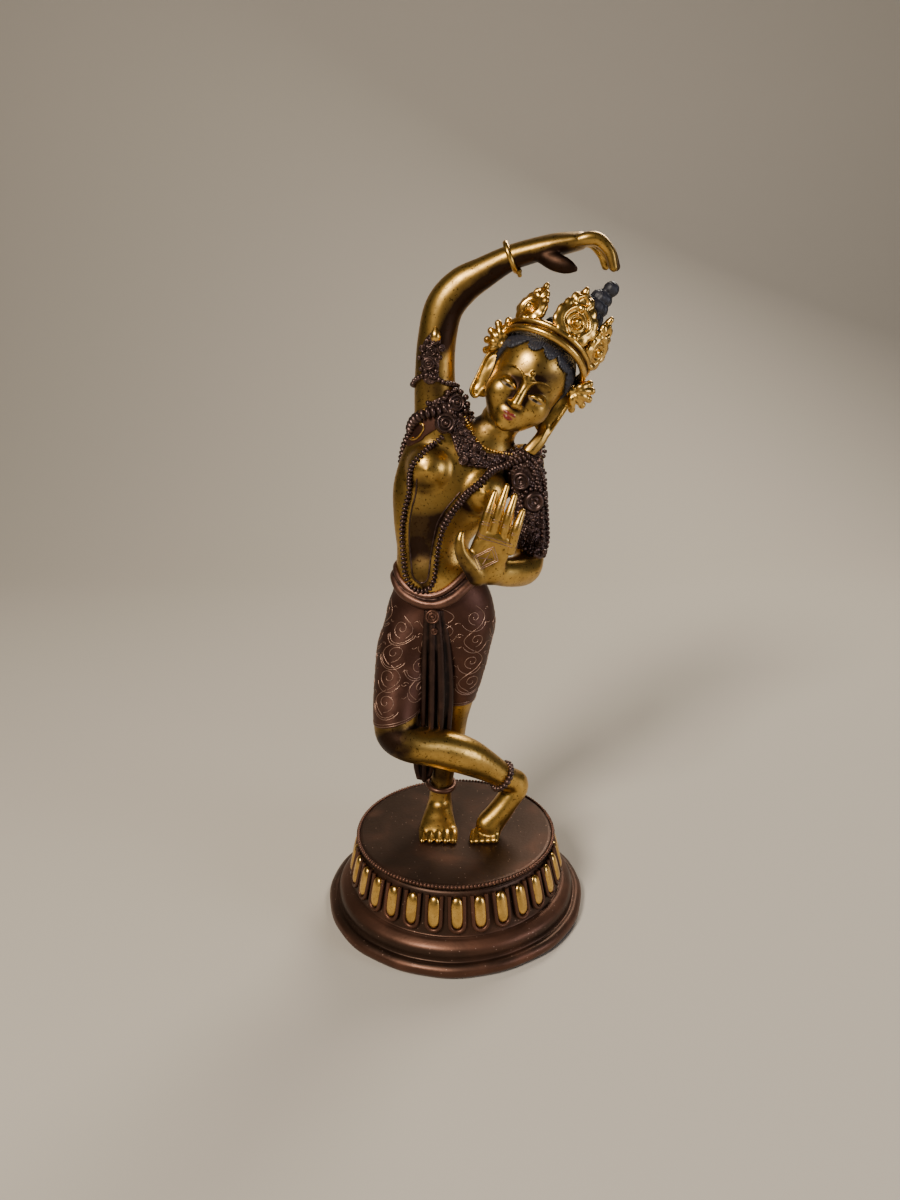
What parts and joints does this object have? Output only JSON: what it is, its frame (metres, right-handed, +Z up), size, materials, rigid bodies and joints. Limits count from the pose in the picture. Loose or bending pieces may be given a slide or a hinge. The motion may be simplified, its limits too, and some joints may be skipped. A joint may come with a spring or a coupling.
{
  "type": "gilt bronze goddess figure",
  "caption": "Small gilt copper goddess dancing with one arm arched over her crowned head, cast jewels and engraved trousers, on a round lotus pedestal.",
  "frame": {"origin": "centre of the pedestal's round underside, on the surface it stands on", "axes": "+Z up through the pedestal's axis, -Y the way the figure faces, +X the viewer's right"},
  "size_m": [0.1141, 0.1092, 0.2679],
  "materials": {
    "gilt_copper": "fire-gilt cast copper, worn, with brown patina in the hollows",
    "brown_copper": "oxidised brown copper, satin, worn bright on the edges"
  },
  "bodies": {
    "root": {"goddess_figure": "gilt_copper", "lotus_pedestal": "brown_copper"}
  },
  "joints": []
}
